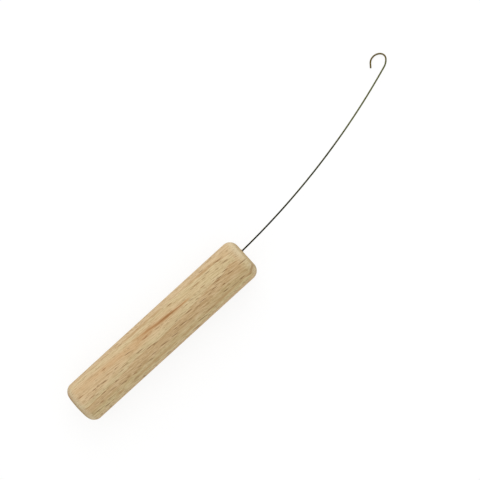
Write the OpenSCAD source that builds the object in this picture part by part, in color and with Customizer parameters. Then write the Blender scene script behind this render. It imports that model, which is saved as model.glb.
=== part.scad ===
// Threading hook: a round wooden handle and one bowed spring wire, whose free
// end is bent round into a small open hook that draws yarn through an orifice.
// The handle lies along +X from its butt, which is centred on the origin.
// The wire bows towards +Y. The tool lies as it would on a table: the handle
// has rolled until the outer side of the hook touches the table too.

/* [Handle] */
// Diameter of the handle
handle_d = 16; // [13:0.5:25]
// Length of the handle from end to end
handle_len = 80.5; // [50:0.5:140]
// Radius of the rounded edge at each end of the handle
handle_edge = 3.5; // [0.5:0.1:4.5]

/* [Hole] */
// Distance from the handle's axis to the mouth of the hole
hole_offset = 2; // [0:0.1:3]
// Angle by which the hole leans away from the handle's axis
hole_lean = 2; // [0:0.5:4]
// Depth of the hole along its full width, before the drill point
hole_depth = 26; // [12:1:45]
// Angle of the drill point at the bottom of the hole
drill_point = 118; // [90:1:150]

/* [Glue] */
// Thickness of the glue between the wire and the wall of the hole
glue_gap = 0.2; // [0.1:0.05:0.5]
// Glue left under the inner end of the wire
glue_under = 0.5; // [0.2:0.1:2]
// Width by which the bead of glue covers the rim of the hole
bead_rim = 0.1; // [0.05:0.05:0.4]
// Height of the bead above the end of the handle
bead_rise = 0.3; // [0.1:0.05:0.5]

/* [Wire] */
// Diameter of the wire
wire_d = 0.6; // [0.4:0.05:1.2]
// Radius of the rounded edge at each cut end of the wire
wire_edge = 0.15; // [0.05:0.01:0.18]
// Straight stretch between the handle and the bow
straight_out = 1; // [0.5:0.1:20]

/* [Bow] */
// Radius of the long bow, to the middle of the wire
bow_r = 272; // [180:1:500]
// Angle that the long bow turns through
bow_angle = 17.4; // [8:0.1:25]

/* [Hook] */
// Radius of the throat, where the bow tightens into the hook
throat_r = 5.4; // [3:0.1:9]
// Angle that the throat turns through
throat_angle = 34.5; // [20:0.5:50]
// Radius of the crown, at the top of the hook
crown_r = 2.15; // [1.5:0.05:4]
// Angle that the crown turns through
crown_angle = 79; // [60:0.5:95]
// Radius of the cheek, where the wire comes back beside itself
cheek_r = 3.35; // [2.5:0.05:5]
// Angle that the cheek turns through
cheek_angle = 100; // [80:1:115]
// Straight stretch at the tip of the hook
tip_len = 1.7; // [0.5:0.1:2.5]

/* [Hidden] */
$fn = 60;
// Sides of the wire
WIRE_SIDES = 16;
// Farthest that a flat stretch of the wire may stray from its true bend
BEND_SLACK = 0.005;
// Turn between the rings that round a cut end of the wire
EDGE_STEP = 30;
// Turn of the handle about its axis, so that its seam isn't the line on which it lies
SEAM_TURN = 0.8;

handle_r = handle_d / 2;
wire_r = wire_d / 2;
hole_r = wire_r + glue_gap;
bead_r = hole_r + bead_rim;
// Length by which a cutting shape runs past the face that it cuts
cut_past = 2;
hole_mouth = [handle_len, hole_offset];

// Bends from the handle outwards: the radius and the angle of each
BENDS = [
    [bow_r, bow_angle],
    [throat_r, throat_angle],
    [crown_r, crown_angle],
    [cheek_r, cheek_angle],
];
LAST = len(BENDS) - 1;

// Unit vectors along a heading in the plane of the wire, and to its left
function ahead(angle) = [cos(angle), sin(angle)];
function leftward(angle) = [-sin(angle), cos(angle)];

// Heading, start, centre and end of bend i
function heading(i) = i == 0 ? hole_lean : heading(i - 1) + BENDS[i - 1][1];
function bend_start(i) = i == 0 ? hole_mouth + straight_out * ahead(hole_lean) : bend_end(i - 1);
function bend_centre(i) = bend_start(i) + BENDS[i][0] * leftward(heading(i));
function bend_end(i) = bend_centre(i) - BENDS[i][0] * leftward(heading(i + 1));

tip_heading = heading(LAST + 1);
wire_start = hole_mouth - (hole_depth - glue_under) * ahead(hole_lean);
wire_tip = bend_end(LAST) + tip_len * ahead(tip_heading);

// Widest distance of bend i from the handle's axis, which it has where it runs back along that axis
function widest_heading(i) = max(heading(i), min(180, heading(i + 1)));
function bend_reach(i) = bend_centre(i).y - BENDS[i][0] * leftward(widest_heading(i)).y;
wire_reach = max([for (i = [0:LAST]) bend_reach(i)]);

// Angle by which the plane of the wire dips, so that the hook touches the table as the handle does
rest_roll = asin(min(1, (handle_r - wire_r) / wire_reach));

// Rings of the wire, each with its centre, its heading and its radius
function bend_steps(i) = ceil(BENDS[i][1] / (2 * acos(1 - BEND_SLACK / BENDS[i][0])));
function bend_rings(i) = [
    for (k = [1:bend_steps(i)])
        let (angle = heading(i) + BENDS[i][1] * k / bend_steps(i))
            [bend_centre(i) - BENDS[i][0] * leftward(angle), angle, wire_r]
];
// One ring of a rounded cut end, flat at an opening of 0 and as wide as the wire at 90
function edge_ring(end, angle, inward, opened) =
    [end + wire_edge * (1 - cos(opened)) * inward, angle, wire_r - wire_edge * (1 - sin(opened))];
wire_rings = concat(
    [for (a = [0:EDGE_STEP:90]) edge_ring(wire_start, hole_lean, ahead(hole_lean), a)],
    [[bend_start(0), hole_lean, wire_r]],
    [for (i = [0:LAST]) each bend_rings(i)],
    [for (a = [90:-EDGE_STEP:0]) edge_ring(wire_tip, tip_heading, -ahead(tip_heading), a)]
);

// Puts a drawing of the wire's plane into the resting tool
module in_wire_plane() {
    rotate([-rest_roll, 0, 0]) children();
}

// Turns a shape that stands on the XY plane so that it lies along +X
module lay_along_x() {
    rotate([0, 90, 0]) children();
}

// Lays children along the hole, from its mouth inwards
module down_the_hole() {
    translate([hole_mouth.x, hole_mouth.y, 0]) rotate([0, 0, hole_lean + 180]) lay_along_x() children();
}

// What a rounded edge takes off a square corner
module edge_waste(edge) {
    difference() {
        square(2 * edge);
        circle(edge);
    }
}

// Half outline of the handle, standing on its butt
module handle_outline() {
    difference() {
        square([handle_r, handle_len]);
        translate([handle_r - handle_edge, handle_len - handle_edge]) edge_waste(handle_edge);
        translate([handle_r - handle_edge, handle_edge]) mirror([0, 1]) edge_waste(handle_edge);
    }
}

// Drilled hole from beyond its mouth down to its point
module hole_shape() {
    point_len = hole_r / tan(drill_point / 2);
    down_the_hole() {
        translate([0, 0, -cut_past]) cylinder(h = hole_depth + cut_past, r = hole_r);
        translate([0, 0, hole_depth]) cylinder(h = point_len, r1 = hole_r, r2 = 0);
    }
}

// Low round cap that stands on the end of the handle, over the mouth of the hole
module bead_shape() {
    ball_r = (pow(bead_r, 2) + pow(bead_rise, 2)) / (2 * bead_rise);
    translate([hole_mouth.x, hole_mouth.y, 0]) lay_along_x() rotate_extrude() intersection() {
        square([bead_r, bead_rise]);
        translate([0, bead_rise - ball_r]) circle(ball_r);
    }
}

// Everything on the handle's side of its front end
module behind_front_end() {
    translate([-cut_past, 0, 0]) lay_along_x() cylinder(h = handle_len + cut_past, r = handle_r);
}

// Round space that the straight shank of the wire takes up, in the glue and past it
module shank_space() {
    down_the_hole() translate([0, 0, -cut_past])
        cylinder(h = hole_depth - glue_under + cut_past, r = wire_r);
}

// Skin over a row of rings, closed at both ends
module ring_sweep(rings, sides) {
    function ring_points(ring) = [
        for (k = [0:sides - 1])
            let (out = ring[2] * cos(360 * k / sides) * leftward(ring[1]))
                [ring[0].x + out.x, ring[0].y + out.y, ring[2] * sin(360 * k / sides)]
    ];
    last_ring = sides * (len(rings) - 1);
    polyhedron(
        points = [for (ring = rings) each ring_points(ring)],
        faces = concat(
            [[for (k = [0:sides - 1]) k]],
            [
                for (i = [0:sides:last_ring - sides], k = [0:sides - 1])
                    let (next = (k + 1) % sides)
                        [i + k, i + sides + k, i + sides + next, i + next]
            ],
            [[for (k = [sides - 1:-1:0]) last_ring + k]]
        )
    );
}

module handle() {
    color("burlywood") difference() {
        lay_along_x() rotate([0, 0, SEAM_TURN]) rotate_extrude() handle_outline();
        in_wire_plane() hole_shape();
    }
}

module glue_bond() {
    color("saddlebrown") in_wire_plane() difference() {
        union() {
            intersection() {
                hole_shape();
                behind_front_end();
            }
            bead_shape();
        }
        shank_space();
    }
}

module hook_wire() {
    color("dimgray") in_wire_plane() ring_sweep(wire_rings, WIRE_SIDES);
}

handle();
glue_bond();
hook_wire();
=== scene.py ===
"""Looks of the threading hook: a sanded beech handle with a bowed spring wire, on a white table."""

import math

import bmesh
import bpy
from mathutils import Matrix, Vector, noise


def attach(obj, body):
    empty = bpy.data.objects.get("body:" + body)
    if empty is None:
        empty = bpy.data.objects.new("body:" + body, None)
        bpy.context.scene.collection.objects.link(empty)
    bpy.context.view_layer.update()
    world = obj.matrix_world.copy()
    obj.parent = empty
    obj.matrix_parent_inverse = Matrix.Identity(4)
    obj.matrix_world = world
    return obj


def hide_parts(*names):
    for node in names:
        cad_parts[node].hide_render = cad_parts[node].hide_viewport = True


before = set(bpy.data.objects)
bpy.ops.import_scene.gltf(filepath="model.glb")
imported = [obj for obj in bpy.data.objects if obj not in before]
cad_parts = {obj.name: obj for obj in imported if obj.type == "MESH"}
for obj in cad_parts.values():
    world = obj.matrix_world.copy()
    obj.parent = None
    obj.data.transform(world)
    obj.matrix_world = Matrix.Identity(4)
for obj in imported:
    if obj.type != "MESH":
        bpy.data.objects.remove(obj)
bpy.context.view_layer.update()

MM = 0.001

# Handle, in mm
HANDLE_R = 8.0
HANDLE_LEN = 80.5
HANDLE_EDGE = 3.5
HANDLE_SIDES = 144
EDGE_STEPS = 14
SIDE_STEPS = 80
HOLE_OFFSET = 2.0
HOLE_LEAN = math.radians(2)
HOLE_R = 0.5
HOLE_DEPTH = 26.0
HOLE_SIDES = 32
HOLE_MOUTH = Vector((HANDLE_LEN, HOLE_OFFSET, 0))
DRILL_POINT = math.radians(118)
# Broad and fine unevenness that sanding has left: half its depth, and the size of its lumps along the
# handle and across it, in mm
BROAD_SANDING = (0.008, 17, 6)
FINE_SANDING = (0.003, 4.0, 1.6)
FINE_SHIFT = 9

# Glue, in mm
GLUE_UNDER = 0.5

# Wire, in mm and degrees: each bend has its radius and the angle that it turns through
WIRE_R = 0.3
WIRE_EDGE = 0.15
# The finer skin of the wire lies this much inside the solid's, so that both fill the same box
WIRE_INSET = 0.004
STRAIGHT_OUT = 1.0
BENDS = [(272.0, 17.4), (5.4, 34.5), (2.15, 79.0), (3.35, 100.0)]
TIP_LEN = 1.7
# A bend is drawn in at least this many steps, and none turns or runs farther than this
BEND_STEPS = 6
STEP_TURN = 2.0
STEP_LEN = 1.2
WIRE_SIDES = 24
END_STEPS = 5

# Camera: the photograph's frame is 480 pixels wide, and its centre looks at this point, in mm
CAMERA_AIM = (82.53, 5.25)
CAMERA_HEIGHT = 870.0
CAMERA_TURN = math.radians(-42.354)
FRAME_WIDTH = 170.67
SENSOR_WIDTH = 36.0

# Lamp, from the camera's aim, in metres, with its width in metres and its power in watts
KEY_PLACE = (0.36, 0.52, 0.42)
KEY_SIZE = 0.7
KEY_POWER = 1.8
KEY_COLOUR = (1.0, 0.985, 0.96)

# Table: its height in mm, its half width in metres, the light that it gives back to the tool, and what the
# camera sees of it, which is a part that takes the shadow and a glow that brings the rest up to white
TABLE_Z = -HANDLE_R
TABLE_HALF = 6.0
TABLE_BOUNCE = (0.85, 0.85, 0.85, 1)
TABLE_SHOWN = (0.2, 0.2, 0.2, 1)
TABLE_GLOW = 0.823
WHITE = (1, 1, 1, 1)
# Strength of the white room: as a light, and as the camera sees it
ROOM_LIGHT = 0.84
ROOM_SHOWN = 1.0


def srgb(red, green, blue):
    """Colour as read off a screen, 0 to 255, as the linear colour that a shader takes."""
    def linear(value):
        share = value / 255
        return share / 12.92 if share <= 0.04045 else ((share + 0.055) / 1.055) ** 2.4
    return (linear(red), linear(green), linear(blue), 1.0)


# Camera and light

def make_camera():
    data = bpy.data.cameras.new("camera")
    data.sensor_width = SENSOR_WIDTH
    data.lens = SENSOR_WIDTH * CAMERA_HEIGHT / FRAME_WIDTH
    data.clip_start = 0.01
    data.clip_end = 20.0
    camera = bpy.data.objects.new("camera", data)
    camera.location = (CAMERA_AIM[0] * MM, CAMERA_AIM[1] * MM, CAMERA_HEIGHT * MM)
    camera.rotation_euler = (0, 0, CAMERA_TURN)
    bpy.context.scene.collection.objects.link(camera)
    bpy.context.scene.camera = camera


def make_softbox(name, place, size, power, colour):
    """Square lamp at a place, in metres, that faces the middle of the tool."""
    aim = Vector((CAMERA_AIM[0] * MM, CAMERA_AIM[1] * MM, 0))
    data = bpy.data.lights.new(name, "AREA")
    data.size = size
    data.energy = power
    data.color = colour
    lamp = bpy.data.objects.new(name, data)
    lamp.location = aim + Vector(place)
    lamp.rotation_mode = "QUATERNION"
    lamp.rotation_quaternion = (-Vector(place)).to_track_quat("-Z", "Y")
    bpy.context.scene.collection.objects.link(lamp)


# Short calls that build a material's nodes

class Shading:
    """Node tree of one material. A value that it takes is a socket, a number or a tuple."""

    def __init__(self, tree):
        self.nodes = tree.nodes
        self.links = tree.links

    def add(self, kind, inputs=None, **settings):
        made = self.nodes.new(kind)
        for key, value in settings.items():
            setattr(made, key, value)
        for key, value in (inputs or {}).items():
            self.set(made.inputs[key], value)
        return made

    def set(self, socket, value):
        if isinstance(value, bpy.types.NodeSocket):
            self.links.new(value, socket)
        else:
            socket.default_value = value

    def math(self, operation, first, second=0.0, third=0.0):
        made = self.add("ShaderNodeMath", {0: first, 1: second, 2: third}, operation=operation)
        return made.outputs[0]

    def times(self, first, second):
        return self.math("MULTIPLY", first, second)

    def vector(self, operation, first, second=(0, 0, 0)):
        made = self.add("ShaderNodeVectorMath", {0: first, 1: second}, operation=operation)
        return made.outputs["Value" if operation in ("LENGTH", "DOT_PRODUCT") else "Vector"]

    def split(self, vector):
        made = self.add("ShaderNodeSeparateXYZ", {0: vector})
        return made.outputs[0], made.outputs[1], made.outputs[2]

    def noise(self, place, scale=1.0, detail=2.0, roughness=0.5, colour=False):
        made = self.add("ShaderNodeTexNoise",
                        {"Vector": place, "Scale": scale, "Detail": detail, "Roughness": roughness})
        return made.outputs["Color" if colour else "Fac"]

    def fade(self, value, low, high, to_low=0.0, to_high=1.0):
        """Smooth step from to_low at low to to_high at high."""
        ends = {"From Min": low, "From Max": high, "To Min": to_low, "To Max": to_high}
        return self.add("ShaderNodeMapRange", {"Value": value, **ends},
                        interpolation_type="SMOOTHSTEP").outputs[0]

    def mix(self, share, first, second):
        """First colour, with this share of the second."""
        return self.add("ShaderNodeMix", {0: share, 6: first, 7: second}, data_type="RGBA").outputs[2]

    def ramp(self, value, stops):
        made = self.add("ShaderNodeValToRGB", {0: value})
        elements = made.color_ramp.elements
        while len(elements) < len(stops):
            elements.new(0.5)
        for element, (place, colour) in zip(elements, stops):
            element.position = place
            element.color = colour
        return made.outputs[0]

    def curve(self, value, points):
        """Line through points, both ways from 0 to 1."""
        made = self.add("ShaderNodeFloatCurve", {"Value": value})
        drawn = made.mapping.curves[0].points
        while len(drawn) < len(points):
            drawn.new(0.5, 0.5)
        for point, place in zip(drawn, points):
            point.location = place
        made.mapping.update()
        return made.outputs[0]

    def place_mm(self):
        """Place on the tool, in mm."""
        place = self.add("ShaderNodeTexCoord").outputs["Object"]
        return self.vector("MULTIPLY", place, (1 / MM, 1 / MM, 1 / MM))


def new_material(name):
    material = bpy.data.materials.new(name)
    material.use_nodes = True
    return material, Shading(material.node_tree), material.node_tree.nodes["Principled BSDF"]


# Beech

# The fibres lean by these angles from the handle's axis, in the plane of the table and out of it
GRAIN_YAW = math.radians(5.0)
GRAIN_DIP = math.radians(0.8)
# They sway to either side by up to half of this, over stretches of this size, along x, y and z in mm
SWAY = (0, 2.0, 1.0)
SWAY_SIZE = (24, 8, 8)
# Lumps of the fibres and of broader bands, along x, y and z in mm, and the shares of their tones
FIBRE_SIZE = (5.0, 0.2, 0.5)
FIBRE_SHARE = 0.62
BAND_SIZE = (30, 0.5, 1.2)
BAND_SHARE = 0.34
# The growth rings face this far round from +Z towards +Y and rise by this much along X. They are this
# thick, and one of them starts at this height, in mm. The waves are that ring's ups and downs at some x
RING_ROLL = math.radians(22.0)
RING_RISE = 0.0186
RING_STEP = 6.5
RING_START = 6.25
RING_WAVES = [
    (0, 0.0), (15, -0.03), (22, -0.04), (26, 0.24), (33, 0.16), (39, -0.12), (47, -0.15),
    (57, 0.0), (61, -0.01), (64, 0.12), (70, 0.04), (73, 0.2), (77, 0.0),
]
# Rings that are counted from below the handle, so that their number is never negative
RINGS_BELOW = 4
# Slow and quick wobbles of the rings: the size of their lumps and their height, in mm
SLOW_SIZE = (9, 4, 4)
SLOW_HEIGHT = 0.3
QUICK_SIZE = (2.6, 0.9, 0.9)
QUICK_HEIGHT = 0.34
# The rays stand this far round from +Z towards +Y
RAY_ROLL = math.radians(8.0)

BEECH_PALE = srgb(206, 186, 141)
BEECH_MID = srgb(207, 178, 135)
BEECH_LATE = srgb(195, 165, 119)
BEECH_LINE = srgb(180, 144, 97)
BEECH_ROSY = srgb(198, 154, 104)
# BEECH_BRIGHT also serves as painted light on the side towards the lamp, and BEECH_OLIVE as painted shade
# low on the side away from it
BEECH_BRIGHT = srgb(220, 196, 157)
BEECH_OLIVE = srgb(194, 187, 131)
BEECH_ASH = srgb(202, 192, 160)
BEECH_ORANGE = srgb(188, 142, 92)
BEECH_RED = srgb(140, 94, 46)
RAY_BROWN = srgb(116, 76, 30)
PORE_BROWN = srgb(150, 112, 66)
END_PALE = srgb(212, 198, 164)
END_BROWN = srgb(158, 136, 88)
END_DARK = srgb(142, 116, 76)
END_ROSY = srgb(168, 112, 66)
STAIN_BROWN = srgb(70, 50, 30)

# One ring's colours, as shares of its thickness from its start outwards
RING_TONES = [
    (0.0, BEECH_PALE), (0.08, BEECH_PALE), (0.17, BEECH_MID), (0.5, BEECH_MID), (0.58, BEECH_LATE),
    (0.975, BEECH_LATE), (0.99, BEECH_LINE), (1.0, BEECH_PALE),
]

# Marks on the top of the handle reach this deep, in mm
MARK_DEPTH = 5.0
# Distance to a mark that isn't there, where 1 is the rim of a mark
NO_MARK = 9.0
# Rays that stand out on the top of the handle: x and y of the middle, and the length, in mm
DARK_RAYS = [
    (4.9, -5.6, 3.0), (8.8, -6.3, 2.4), (10.8, -2.2, 2.0), (13.6, 0.5, 2.6), (9.0, 0.9, 1.5),
    (10.9, 0.85, 1.3), (16.8, -2.2, 2.2), (18.6, -4.3, 3.2), (26.4, 2.35, 2.1), (29.8, 0.15, 3.1),
    (35.8, -1.5, 2.7), (38.2, -3.75, 3.0), (43.2, -4.0, 2.5), (44.8, -2.5, 1.8), (48.0, -2.95, 3.4),
    (52.3, -1.2, 3.0), (54.5, -6.3, 4.0), (58.8, -1.6, 2.7), (64.2, -1.15, 2.6), (71.4, 0.95, 2.2),
    (72.5, -0.9, 2.7), (78.0, -0.95, 3.2), (71.8, 5.2, 4.0), (74.2, -5.1, 2.4), (68.6, 0.35, 2.8),
    (73.6, 3.3, 2.5), (66.9, -4.5, 2.6), (68.0, -2.4, 1.2), (66.2, 4.55, 2.3),
]
SOFT_RAYS = [
    (8.7, -1.2, 1.6), (14.0, -3.3, 3.0), (20.9, -3.95, 1.4), (20.5, -0.7, 2.2), (23.0, 0.0, 3.0),
    (33.4, -1.2, 1.6), (33.4, -3.85, 2.0), (26.2, -3.8, 1.8), (22.6, -6.1, 2.2), (10.7, -5.15, 1.6),
    (31.0, -4.8, 3.0), (37.0, -7.2, 1.8), (19.8, 1.3, 1.6), (26.3, 6.45, 1.8), (46.8, -0.7, 1.2),
    (50.8, -3.5, 2.0), (55.8, -2.1, 2.2), (57.4, 0.0, 1.6), (61.8, -1.6, 1.5), (66.0, 0.15, 2.6),
    (69.6, 3.15, 1.8), (64.7, 6.45, 1.8), (70.6, -5.1, 3.2), (58.5, -5.6, 3.4), (60.6, -6.4, 1.6),
    (50.5, -7.2, 3.0), (40.0, 1.95, 2.2), (55.6, 1.3, 2.1), (0.5, 1.5, 1.0), (63.9, 3.9, 1.8),
    (76.8, -6.0, 2.4),
]
RED_RAYS = [
    (3.7, 2.2, 2.6), (6.8, -0.5, 2.2), (16.2, 3.9, 1.7), (8.0, -4.1, 1.8), (23.5, -4.6, 1.8),
    (61.8, 2.05, 2.1), (48.6, 5.15, 2.2), (60.4, 4.15, 3.4), (34.6, 2.3, 2.6), (67.3, -0.1, 1.5),
]
# Their widths in mm and their lean in degrees. A spindle is this much longer than what shows of it
RAY_WIDTH = 0.36
RED_WIDTH = 0.46
RAY_LEAN = -5.0
RAY_TAPER = 1.55
RAY_RAGGED = 0.6
# Dark lines along the handle: x, y, length and lean
LONG_LINES = [
    (34.0, 6.3, 18.0, 0.0), (43.0, 6.15, 8.0, -2.0), (66.0, 5.65, 15.0, -2.0), (15.0, -6.0, 5.0, 0.0),
    (32.0, -6.05, 30.0, 0.0), (62.0, -5.65, 22.0, 0.5), (77.0, -5.7, 7.0, -4.0), (48.0, -6.1, 12.0, 0.0),
]
LINE_WIDTH = 1.0
# Wide soft patches of another tone: x, y, length, width, the share at their middle and the tone
# The olive patches, low on the side away from the light, are partly wood tone and partly painted shade
SOFT_TINTS = [
    (29.5, 2.0, 14.0, 3.4, 0.45, BEECH_ROSY),
    (69.0, -4.3, 24.0, 3.6, 0.4, BEECH_OLIVE),
    (74.0, 0.1, 11.0, 3.0, 0.4, BEECH_LINE),
    (62.0, 0.0, 8.0, 2.6, 0.35, BEECH_LINE),
    (44.0, -2.2, 14.0, 3.2, 0.22, BEECH_LINE),
    (71.0, -2.2, 12.0, 2.6, 0.25, BEECH_LINE),
    (79.5, 3.6, 7.0, 9.0, 0.45, BEECH_ASH),
    (79.5, -3.0, 6.0, 7.0, 0.4, BEECH_OLIVE),
    (5.0, 0.2, 9.0, 3.4, 0.3, BEECH_BRIGHT),
    (64.0, 6.0, 12.0, 2.6, 0.25, BEECH_BRIGHT),
    (34.0, 6.0, 8.0, 2.6, 0.25, BEECH_BRIGHT),
    (74.0, 4.0, 8.0, 2.6, 0.3, BEECH_BRIGHT),
    (46.0, 0.2, 8.0, 2.2, 0.2, BEECH_LINE),
    (22.0, 6.0, 8.0, 2.4, 0.3, BEECH_MID),
]
# Warm wood with ragged rims: x, y, length, width, lean, how far out it is full, its share and the tone
WARM_MARKS = [
    (21, 3.7, 40, 2.6, -2.0, 0.1, 0.4, BEECH_ROSY),
    (39.5, 3.2, 28, 3.0, -5.0, 0.0, 0.35, BEECH_ORANGE),
    (34.5, 2.5, 8, 1.2, -3.0, 0.1, 0.6, BEECH_ORANGE),
]
# Parts of the one long red streak, and other marks: x, y, length, width and lean
STREAK_TAIL = (38.5, 3.4, 14, 1.0, -6.0)
STREAK_CORE = (45.5, 2.72, 18, 1.1, -4.0)
STREAK_END = (52, 2.35, 8, 0.7, -2.0)
STREAK_JOIN = 0.4
# Painted shade: a wide darker patch low on the side away from the light, near the front
SHADE_PATCH_MARK = (68, -4.9, 30, 3.4, 0.0)
CORNER_MARK = (79.3, -4.6, 7, 1.3, 32.0)
MARK_RAGGED = 1.2


def wobble(shade, lumps, height):
    """Ups and downs of a height, from a noise of 0 to 1."""
    return shade.math("MULTIPLY_ADD", lumps, height, -height / 2)


def flecks(shade, grain, cell, half, kept, seed):
    """Marks of rays that end at the surface: one spindle in some of the cells of a stretched Voronoi.

    cell and half are the cell's size and the spindle's half size along, across and into the grain, in mm.
    """
    shifted = shade.vector("ADD", grain, seed)
    cells = shade.vector("DIVIDE", shifted, cell)
    voronoi = shade.add("ShaderNodeTexVoronoi", {"Vector": cells, "Scale": 1.0}, feature="F1")
    away = shade.vector("SUBTRACT", cells, voronoi.outputs["Position"])
    chance, size, tone = shade.split(voronoi.outputs["Color"])
    away = shade.vector("MULTIPLY", away, tuple(c / h for c, h in zip(cell, half)))
    far = shade.math("DIVIDE", shade.vector("LENGTH", away), shade.fade(size, 0, 1, 0.6, 1.1))
    spot = shade.fade(far, 0.45, 1.0, 1.0, 0.0)
    picked = shade.times(spot, shade.math("LESS_THAN", chance, kept))
    return shade.times(picked, shade.fade(tone, 0, 1, 0.5, 1.0))


def mark(shade, place, x, y, length, width, lean):
    """How far a place is from a long mark on the top of the handle, where 1 is the mark's rim."""
    middle = (x, y, math.sqrt(HANDLE_R ** 2 - y ** 2))
    away = shade.vector("SUBTRACT", place, middle)
    turned = shade.add("ShaderNodeVectorRotate",
                       {"Vector": away, "Angle": -math.radians(lean), "Axis": (0, 0, 1)},
                       rotation_type="AXIS_ANGLE").outputs[0]
    return shade.vector("LENGTH", shade.vector("MULTIPLY", turned, (2 / length, 2 / width, 1 / MARK_DEPTH)))


def nearest_ray(shade, place, rays, width, quick):
    """How far a place is from the nearest of some rays, where 1 is its ragged rim."""
    far = NO_MARK
    for x, y, length in rays:
        far = shade.math("MINIMUM", far, mark(shade, place, x, y, RAY_TAPER * length, width, RAY_LEAN))
    return shade.math("ADD", far, wobble(shade, quick, RAY_RAGGED))


def growth_rings(shade, place, along, quick):
    """Colour of the rings: pale early wood that darkens to a sharp late edge."""
    facing = (-RING_RISE, math.sin(RING_ROLL), math.cos(RING_ROLL))
    slow = shade.noise(shade.vector("DIVIDE", place, SLOW_SIZE), detail=1.0)
    points = [(x / HANDLE_LEN, height + 0.5) for x, height in RING_WAVES]
    waves = shade.curve(shade.math("DIVIDE", along, HANDLE_LEN), points)
    out = shade.vector("DOT_PRODUCT", place, facing)
    out = shade.math("SUBTRACT", out, shade.math("SUBTRACT", waves, 0.5))
    out = shade.math("ADD", out, wobble(shade, slow, SLOW_HEIGHT))
    out = shade.math("ADD", out, wobble(shade, quick, QUICK_HEIGHT))
    number = shade.math("MULTIPLY_ADD", out, 1 / RING_STEP, RINGS_BELOW - RING_START / RING_STEP)
    return shade.ramp(shade.math("FRACT", number), RING_TONES)


def tint_top(shade, place, across, up, colour):
    """Painted shade as a cooler olive tone low on the side away from the light, painted light as a brighter
    tone on the opposite side, and soft patches between.
    """
    on_top = shade.fade(up, 2.0, 6.0)
    # Painted shade: olive tone on the upper part of the side away from the light
    painted_shade = shade.times(shade.fade(across, -6.5, -3.5, 0.55, 0.0), on_top)
    colour = shade.mix(painted_shade, colour, BEECH_OLIVE)
    # Painted light: brighter tone on the upper part of the side towards the light
    painted_light = shade.times(shade.fade(across, 4.5, 7.0, 0.0, 0.5), shade.fade(up, 0.0, 4.5))
    colour = shade.mix(painted_light, colour, BEECH_BRIGHT)
    for x, y, length, width, share, tone in SOFT_TINTS:
        patch = mark(shade, place, x, y, length, width, 0.0)
        patch = shade.times(shade.fade(patch, 0.0, 1.3, share, 0.0), on_top)
        colour = shade.mix(patch, colour, tone)
    return colour


def tint_marks(shade, place, ragged, colour):
    """Warm wood by the long red streak, dark lines along the handle, and a patch of painted shade."""
    for x, y, length, width, lean, full, share, tone in WARM_MARKS:
        far = shade.math("ADD", mark(shade, place, x, y, length, width, lean), ragged)
        colour = shade.mix(shade.fade(far, full, 1.1, share, 0.0), colour, tone)

    tail = mark(shade, place, *STREAK_TAIL)
    core = mark(shade, place, *STREAK_CORE)
    end = mark(shade, place, *STREAK_END)
    streak = shade.math("MINIMUM", shade.math("SMOOTH_MIN", tail, core, STREAK_JOIN), end)
    streak = shade.math("ADD", streak, ragged)
    tail = shade.math("ADD", tail, ragged)
    core = shade.math("ADD", core, ragged)
    colour = shade.mix(shade.fade(streak, 0.3, 1.3, 0.9, 0.0), colour, BEECH_ORANGE)
    colour = shade.mix(shade.fade(tail, 0.0, 1.0, 0.45, 0.0), colour, BEECH_RED)
    colour = shade.mix(shade.fade(core, 0.1, 1.0, 0.75, 0.0), colour, BEECH_RED)

    lines = NO_MARK
    for x, y, length, lean in LONG_LINES:
        lines = shade.math("MINIMUM", lines, mark(shade, place, x, y, length, LINE_WIDTH, lean))
    lines = shade.math("ADD", lines, ragged)
    colour = shade.mix(shade.fade(lines, 0.3, 1.2, 0.65, 0.0), colour, BEECH_LINE)
    # Painted shade darkens a wide patch low on the side away from the light
    painted_shade_patch = mark(shade, place, *SHADE_PATCH_MARK)
    return shade.mix(shade.fade(painted_shade_patch, 0.3, 1.1, 0.3, 0.0), colour, BEECH_LINE)


def tint_ends(shade, place, turned, bands, rings, colour):
    """Paler wood towards the ends, brown rims, and pores, rays and rings on the end faces."""
    along, across, up = shade.split(place)
    normal = shade.add("ShaderNodeTexCoord").outputs["Normal"]
    square_on = shade.math("ABSOLUTE", shade.split(normal)[0])
    pale = shade.times(shade.fade(square_on, 0.0, 0.8, 0.0, 0.65), shade.fade(bands, 0.3, 0.6, 0.4, 1.0))
    colour = shade.mix(pale, colour, END_PALE)
    # Brown band where the ends round over: partly darker end grain, partly painted shade on the rims
    colour = shade.mix(shade.fade(square_on, 0.62, 0.93, 0.0, 0.45), colour, END_BROWN)
    corner = mark(shade, place, *CORNER_MARK)
    colour = shade.mix(shade.fade(corner, 0.2, 1.1, 0.7, 0.0), colour, PORE_BROWN)

    pores = shade.noise(shade.vector("MULTIPLY", place, (0.5, 7, 7)), detail=2.0, roughness=0.7)
    end_rays = shade.noise(shade.vector("DIVIDE", turned, (9, 0.22, 3.0)), detail=2.0)
    face = shade.mix(0.4, rings, END_BROWN)
    face = shade.mix(shade.fade(pores, 0.42, 0.62, 0.0, 0.5), face, END_DARK)
    face = shade.mix(shade.fade(end_rays, 0.52, 0.75, 0.0, 0.5), face, END_PALE)
    colour = shade.mix(shade.fade(square_on, 0.7, 1.0, 0.0, 0.85), colour, face)

    # Rosy tone on one side of the butt's rim
    rosy = shade.times(shade.fade(square_on, 0.45, 0.85, 0.0, 0.5), shade.fade(across, 0.5, 5.0))
    rosy = shade.times(rosy, shade.fade(along, 5.0, 10.0, 1.0, 0.0))
    rosy = shade.times(rosy, shade.fade(up, -1.0, 3.0))
    rosy = shade.times(rosy, shade.fade(pores, 0.35, 0.65, 1.0, 0.45))
    rosy = shade.times(rosy, shade.fade(square_on, 0.94, 1.0, 1.0, 0.3))
    return shade.mix(rosy, colour, END_ROSY)


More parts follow.
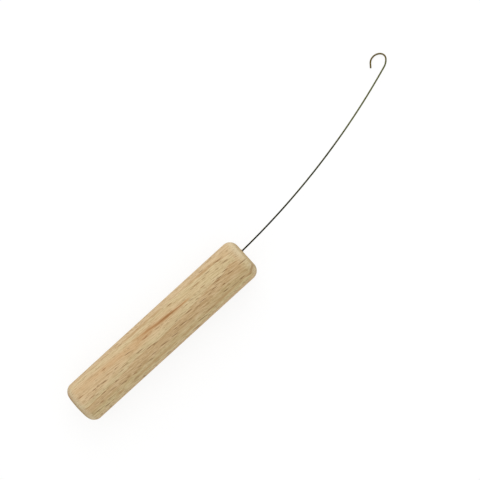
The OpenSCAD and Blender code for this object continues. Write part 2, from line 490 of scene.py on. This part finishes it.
def make_beech():
    material, shade, shader = new_material("beech")
    place = shade.place_mm()

    # Along the fibres, across them beside the rays, and along the rays
    along, across, up = shade.split(place)
    turned = shade.add("ShaderNodeVectorRotate",
                       {"Vector": place, "Rotation": (RAY_ROLL, GRAIN_DIP, GRAIN_YAW)},
                       rotation_type="EULER_XYZ").outputs[0]
    sway = shade.noise(shade.vector("DIVIDE", place, SWAY_SIZE), detail=1.0, colour=True)
    sway = shade.vector("MULTIPLY", shade.vector("SUBTRACT", sway, (0.5, 0.5, 0.5)), SWAY)
    grain = shade.vector("ADD", turned, sway)
    swayed = shade.vector("ADD", place, shade.vector("MULTIPLY", sway, (0, 0.5, 0.5)))

    # Growth rings, bands that follow the fibres, and the fibres themselves
    quick = shade.noise(shade.vector("DIVIDE", place, QUICK_SIZE), detail=2.0)
    rings = growth_rings(shade, place, along, quick)
    bands = shade.noise(shade.vector("DIVIDE", swayed, BAND_SIZE), detail=2.0, roughness=0.6)
    colour = shade.mix(shade.fade(bands, 0.26, 0.52, BAND_SHARE, 0.0), rings, BEECH_LINE)
    colour = shade.mix(shade.fade(bands, 0.46, 0.72, 0.0, BAND_SHARE), colour, BEECH_BRIGHT)
    colour = tint_top(shade, place, across, up, colour)
    fibres = shade.noise(shade.vector("DIVIDE", grain, FIBRE_SIZE), detail=3.0, roughness=0.65)
    colour = shade.mix(shade.fade(fibres, 0.3, 0.52, FIBRE_SHARE, 0.0), colour, PORE_BROWN)
    colour = shade.mix(shade.fade(fibres, 0.47, 0.66, 0.0, FIBRE_SHARE), colour, BEECH_BRIGHT)
    colour = tint_marks(shade, place, wobble(shade, fibres, MARK_RAGGED), colour)
    colour = tint_ends(shade, place, turned, bands, rings, colour)

    # Rays: those that stand out on the top, and many smaller ones
    dark = shade.fade(nearest_ray(shade, place, DARK_RAYS, RAY_WIDTH, quick), 0.35, 1.0, 0.85, 0.0)
    soft = shade.fade(nearest_ray(shade, place, SOFT_RAYS, RAY_WIDTH, quick), 0.35, 1.0, 0.6, 0.0)
    reddish = shade.fade(nearest_ray(shade, place, RED_RAYS, RED_WIDTH, quick), 0.35, 1.0, 0.75, 0.0)
    large = flecks(shade, grain, (3.0, 0.46, 9.0), (1.2, 0.15, 4.0), 0.34, (0, 0, 0))
    large = shade.times(large, shade.fade(up, 3.0, 5.5, 1.0, 0.3))
    small = flecks(shade, grain, (2.0, 0.34, 7.0), (0.8, 0.12, 3.0), 0.6, (31, 17, 5))
    colour = shade.mix(shade.times(small, 0.5), colour, RAY_BROWN)
    colour = shade.mix(shade.times(large, 0.75), colour, RAY_BROWN)
    colour = shade.mix(reddish, colour, BEECH_RED)
    colour = shade.mix(soft, colour, RAY_BROWN)
    colour = shade.mix(dark, colour, RAY_BROWN)

    # Glue has soaked in round the hole
    wet = shade.vector("LENGTH", shade.vector("SUBTRACT", place, tuple(wire_turn @ HOLE_MOUTH)))
    colour = shade.mix(shade.fade(wet, 0.5, 1.3, 0.9, 0.0), colour, STAIN_BROWN)

    shade.set(shader.inputs["Base Color"], colour)
    shader.inputs["Roughness"].default_value = 0.62
    shader.inputs["Specular IOR Level"].default_value = 0.3
    height = shade.math("SUBTRACT", fibres, shade.times(shade.math("MAXIMUM", large, dark), 0.6))
    bump = shade.add("ShaderNodeBump", {"Strength": 0.5, "Distance": 0.03 * MM, "Height": height})
    shade.set(shader.inputs["Normal"], bump.outputs[0])
    return material


# Wire and glue

STEEL_ROOT = srgb(14, 17, 6)
STEEL_LOW = srgb(26, 29, 17)
STEEL_MID = srgb(50, 54, 30)
STEEL_HIGH = srgb(90, 94, 58)
STEEL_BRONZE = srgb(90, 76, 30)
# Tint of what the steel mirrors at its rims
STEEL_EDGE = (0.55, 0.57, 0.4, 1)
# Colours along the wire, as shares of the way from the handle to the hook
STEEL_FAR = 165.0
STEEL_TONES = [
    (0.0, STEEL_ROOT), (0.12, STEEL_LOW), (0.30, STEEL_MID), (0.60, STEEL_MID),
    (0.80, STEEL_HIGH), (1.0, STEEL_HIGH),
]
GLUE_DARK = srgb(30, 24, 16)
GLUE_BROWN = srgb(52, 40, 26)


def make_steel():
    material, shade, shader = new_material("spring_wire")
    place = shade.place_mm()
    along, across, _ = shade.split(place)
    colour = shade.ramp(shade.fade(along, HANDLE_LEN, STEEL_FAR), STEEL_TONES)
    colour = shade.mix(shade.fade(across, 17.4, 18.6), colour, STEEL_BRONZE)
    stain = shade.noise(place, scale=0.8, detail=3.0)
    colour = shade.mix(shade.fade(stain, 0.4, 0.7, 0.0, 0.35), colour, STEEL_BRONZE)
    shade.set(shader.inputs["Base Color"], colour)
    shader.inputs["Metallic"].default_value = 0.9
    shader.inputs["Specular Tint"].default_value = STEEL_EDGE
    drawn = shade.noise(shade.vector("MULTIPLY", place, (0.5, 14, 14)), detail=2.0)
    shade.set(shader.inputs["Roughness"], shade.fade(drawn, 0.3, 0.7, 0.30, 0.48))
    bump = shade.add("ShaderNodeBump", {"Strength": 0.2, "Distance": 0.01 * MM, "Height": drawn})
    shade.set(shader.inputs["Normal"], bump.outputs[0])
    return material


def make_glue():
    material, shade, shader = new_material("glue")
    place = shade.place_mm()
    lumps = shade.noise(place, scale=3.0, detail=2.0)
    shade.set(shader.inputs["Base Color"], shade.mix(lumps, GLUE_DARK, GLUE_BROWN))
    shader.inputs["Roughness"].default_value = 0.35
    bump = shade.add("ShaderNodeBump", {"Strength": 0.3, "Distance": 0.02 * MM, "Height": lumps})
    shade.set(shader.inputs["Normal"], bump.outputs[0])
    return material


# Geometry

def ahead(angle):
    return Vector((math.cos(angle), math.sin(angle), 0))


def leftward(angle):
    return Vector((-math.sin(angle), math.cos(angle), 0))


def wire_line():
    """Points of the wire's middle line in its own plane, each with its heading, and their reach in Y."""
    angle = HOLE_LEAN
    points = [(HOLE_MOUTH - (HOLE_DEPTH - GLUE_UNDER) * ahead(angle), angle)]
    point = HOLE_MOUTH + STRAIGHT_OUT * ahead(angle)
    points.append((HOLE_MOUTH, angle))
    points.append((point, angle))
    reach = 0.0
    for radius, turn in BENDS:
        centre = point + radius * leftward(angle)
        swept = math.radians(turn)
        steps = max(BEND_STEPS, math.ceil(turn / STEP_TURN), math.ceil(radius * swept / STEP_LEN))
        for k in range(1, steps + 1):
            heading = angle + swept * k / steps
            points.append((centre - radius * leftward(heading), heading))
            reach = max(reach, points[-1][0].y)
        point, angle = points[-1]
    points.append((point + TIP_LEN * ahead(angle), angle))
    return points, reach


def rest_turn(reach):
    """Roll that lays the hook's outer side on the table."""
    return Matrix.Rotation(-math.asin((HANDLE_R - WIRE_R) / reach), 4, "X")


def end_ring(end, angle, side, radius, edge, share):
    """Ring of a rounded end, flat at a share of 0 and as wide as the rod at 1.

    side is 1 at the rod's first end and -1 at its last.
    """
    opened = math.radians(90) * share
    middle = end + side * edge * (1 - math.cos(opened)) * ahead(angle)
    return middle, angle, radius - edge * (1 - math.sin(opened))


def rounded_rod(points, radius, edge):
    """Rings of a rod along the points, each with its middle, its heading and its radius."""
    shares = [k / END_STEPS for k in range(END_STEPS + 1)]
    rings = [end_ring(*points[0], 1, radius, edge, share) for share in shares]
    rings.extend((point, angle, radius) for point, angle in points[1:-1])
    rings.extend(end_ring(*points[-1], -1, radius, edge, share) for share in reversed(shares))
    return rings


def new_piece(name, mesh_maker, material, slot, *nodes):
    """Object from a bmesh in mm, which rides on the tool and stands for CAD nodes."""
    made = bmesh.new()
    mesh_maker(made)
    bmesh.ops.scale(made, vec=(MM, MM, MM), verts=made.verts)
    bmesh.ops.recalc_face_normals(made, faces=made.faces)
    for face in made.faces:
        face.smooth = True
    data = bpy.data.meshes.new(name)
    made.to_mesh(data)
    made.free()
    data.materials.append(material)
    piece = bpy.data.objects.new(name, data)
    bpy.context.scene.collection.objects.link(piece)
    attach(piece, "root")
    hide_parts(*nodes)
    return piece


def bridge(made, here, there):
    """Quads between two rings of as many points."""
    for k in range(len(here)):
        n = (k + 1) % len(here)
        made.faces.new((here[k], there[k], there[n], here[n]))


def cap(made, ring, tip):
    """Fan from a ring to one point."""
    for k in range(len(ring)):
        made.faces.new((ring[k], ring[(k + 1) % len(ring)], tip))


def loop_edges(made, ring):
    return [made.edges.get((ring[k], ring[(k + 1) % len(ring)])) for k in range(len(ring))]


def sweep(made, rings, sides, turn):
    """Skin over a row of rings, closed at both ends and turned into its place."""
    rows = []
    for middle, angle, radius in rings:
        side = leftward(angle)
        row = []
        for k in range(sides):
            around = math.tau * k / sides
            offset = radius * (math.cos(around) * side + math.sin(around) * Vector((0, 0, 1)))
            row.append(made.verts.new(turn @ (middle + offset)))
        rows.append(row)
    for here, there in zip(rows, rows[1:]):
        bridge(made, here, there)
    made.faces.new(rows[0])
    made.faces.new(rows[-1])


def handle_profile():
    """Points (x, radius) of the handle's half outline between its flat ends."""
    flat = HANDLE_R - HANDLE_EDGE
    butt = []
    for k in range(EDGE_STEPS + 1):
        turn = math.radians(90) * k / EDGE_STEPS
        butt.append((HANDLE_EDGE * (1 - math.cos(turn)), flat + HANDLE_EDGE * math.sin(turn)))
    front = [(HANDLE_LEN - x, radius) for x, radius in reversed(butt)]
    low, high = butt[-1][0], front[0][0]
    side = [(low + (high - low) * k / SIDE_STEPS, HANDLE_R) for k in range(1, SIDE_STEPS)]
    return butt + side + front


def unevenness(x, y, z):
    """How far sanding has taken the surface down at a place, in mm."""
    depth, length, width = BROAD_SANDING
    fine_depth, fine_length, fine_width = FINE_SANDING
    broad = noise.noise(Vector((x / length, y / width, z / width)))
    fine = noise.noise(Vector((x / fine_length + FINE_SHIFT, y / fine_width, z / fine_width)))
    return depth * (1 + broad) + fine_depth * (1 + fine)


def build_handle(made):
    """Turned body with a blind hole in its front end."""
    rows = []
    for x, radius in handle_profile():
        row = []
        for k in range(HANDLE_SIDES):
            around = math.tau * k / HANDLE_SIDES
            y, z = math.cos(around), math.sin(around)
            r = radius - unevenness(x, radius * y, radius * z)
            row.append(made.verts.new((x, r * y, r * z)))
        rows.append(row)
    for here, there in zip(rows, rows[1:]):
        bridge(made, here, there)
    cap(made, rows[0], made.verts.new((0, 0, 0)))

    # The hole's mouth lies in the end face, so that its rim isn't square to the leaning hole
    hole = []
    for out in (0.0, -HOLE_DEPTH):
        row = []
        for k in range(HOLE_SIDES):
            around = math.tau * k / HOLE_SIDES
            side = HOLE_R * (math.cos(around) * leftward(HOLE_LEAN) + math.sin(around) * Vector((0, 0, 1)))
            along = out if out else HOLE_R * math.cos(around) * math.tan(HOLE_LEAN)
            row.append(made.verts.new(wire_turn @ (HOLE_MOUTH + side + along * ahead(HOLE_LEAN))))
        hole.append(row)
    bridge(made, hole[1], hole[0])
    point = HOLE_DEPTH + HOLE_R / math.tan(DRILL_POINT / 2)
    cap(made, hole[1], made.verts.new(wire_turn @ (HOLE_MOUTH - point * ahead(HOLE_LEAN))))

    rims = [loop_edges(made, rows[-1]), loop_edges(made, hole[0]), loop_edges(made, hole[1])]
    bmesh.ops.triangle_fill(made, use_beauty=True, edges=rims[0] + rims[1])
    for edge in rims[1] + rims[2]:
        edge.smooth = False


def build_wire(made):
    """Skin of the wire, at rest."""
    sweep(made, rounded_rod(wire_points, WIRE_R - WIRE_INSET, WIRE_EDGE), WIRE_SIDES, wire_turn)


# Table and surroundings

def seen_directly(shade):
    """1 for rays from the camera, and for those that gloss or glass sends on."""
    path = shade.add("ShaderNodeLightPath")
    first = shade.math("MAXIMUM", path.outputs["Is Camera Ray"], path.outputs["Is Glossy Ray"])
    return shade.math("MAXIMUM", first, path.outputs["Is Transmission Ray"])


def make_table():
    material, shade, shader = new_material("table")
    output = material.node_tree.nodes["Material Output"]
    material.node_tree.nodes.remove(shader)
    bounce = shade.add("ShaderNodeBsdfDiffuse", {"Color": TABLE_BOUNCE}).outputs[0]
    shown = shade.add("ShaderNodeBsdfDiffuse", {"Color": TABLE_SHOWN}).outputs[0]
    glow = shade.add("ShaderNodeEmission", {"Color": WHITE, "Strength": TABLE_GLOW}).outputs[0]
    white = shade.add("ShaderNodeAddShader", {0: shown, 1: glow}).outputs[0]
    mixed = shade.add("ShaderNodeMixShader", {0: seen_directly(shade), 1: bounce, 2: white}).outputs[0]
    shade.set(output.inputs["Surface"], mixed)

    made = bmesh.new()
    bmesh.ops.create_grid(made, x_segments=1, y_segments=1, size=TABLE_HALF)
    data = bpy.data.meshes.new("table")
    made.to_mesh(data)
    made.free()
    data.materials.append(material)
    table = bpy.data.objects.new("table", data)
    table.location = (0, 0, TABLE_Z * MM)
    bpy.context.scene.collection.objects.link(table)


def make_world():
    world = bpy.data.worlds.new("white_room")
    world.use_nodes = True
    shade = Shading(world.node_tree)
    background = world.node_tree.nodes["Background"]
    background.inputs["Color"].default_value = WHITE
    strength = shade.fade(seen_directly(shade), 0, 1, ROOM_LIGHT, ROOM_SHOWN)
    shade.set(background.inputs["Strength"], strength)
    bpy.context.scene.world = world


# The scene

wire_points, wire_reach = wire_line()
wire_turn = rest_turn(wire_reach)

make_camera()
make_softbox("key", KEY_PLACE, KEY_SIZE, KEY_POWER, KEY_COLOUR)

beech = make_beech()
steel = make_steel()
glue = make_glue()

new_piece("beech_handle", build_handle, beech, "handle_wood", "handle")
new_piece("spring_wire_hook", build_wire, steel, "wire_steel", "hook_wire")
glue_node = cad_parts["glue_bond"]
glue_node.data.materials.clear()
glue_node.data.materials.append(glue)
make_table()
make_world()
bpy.context.scene.view_settings.view_transform = "Standard"
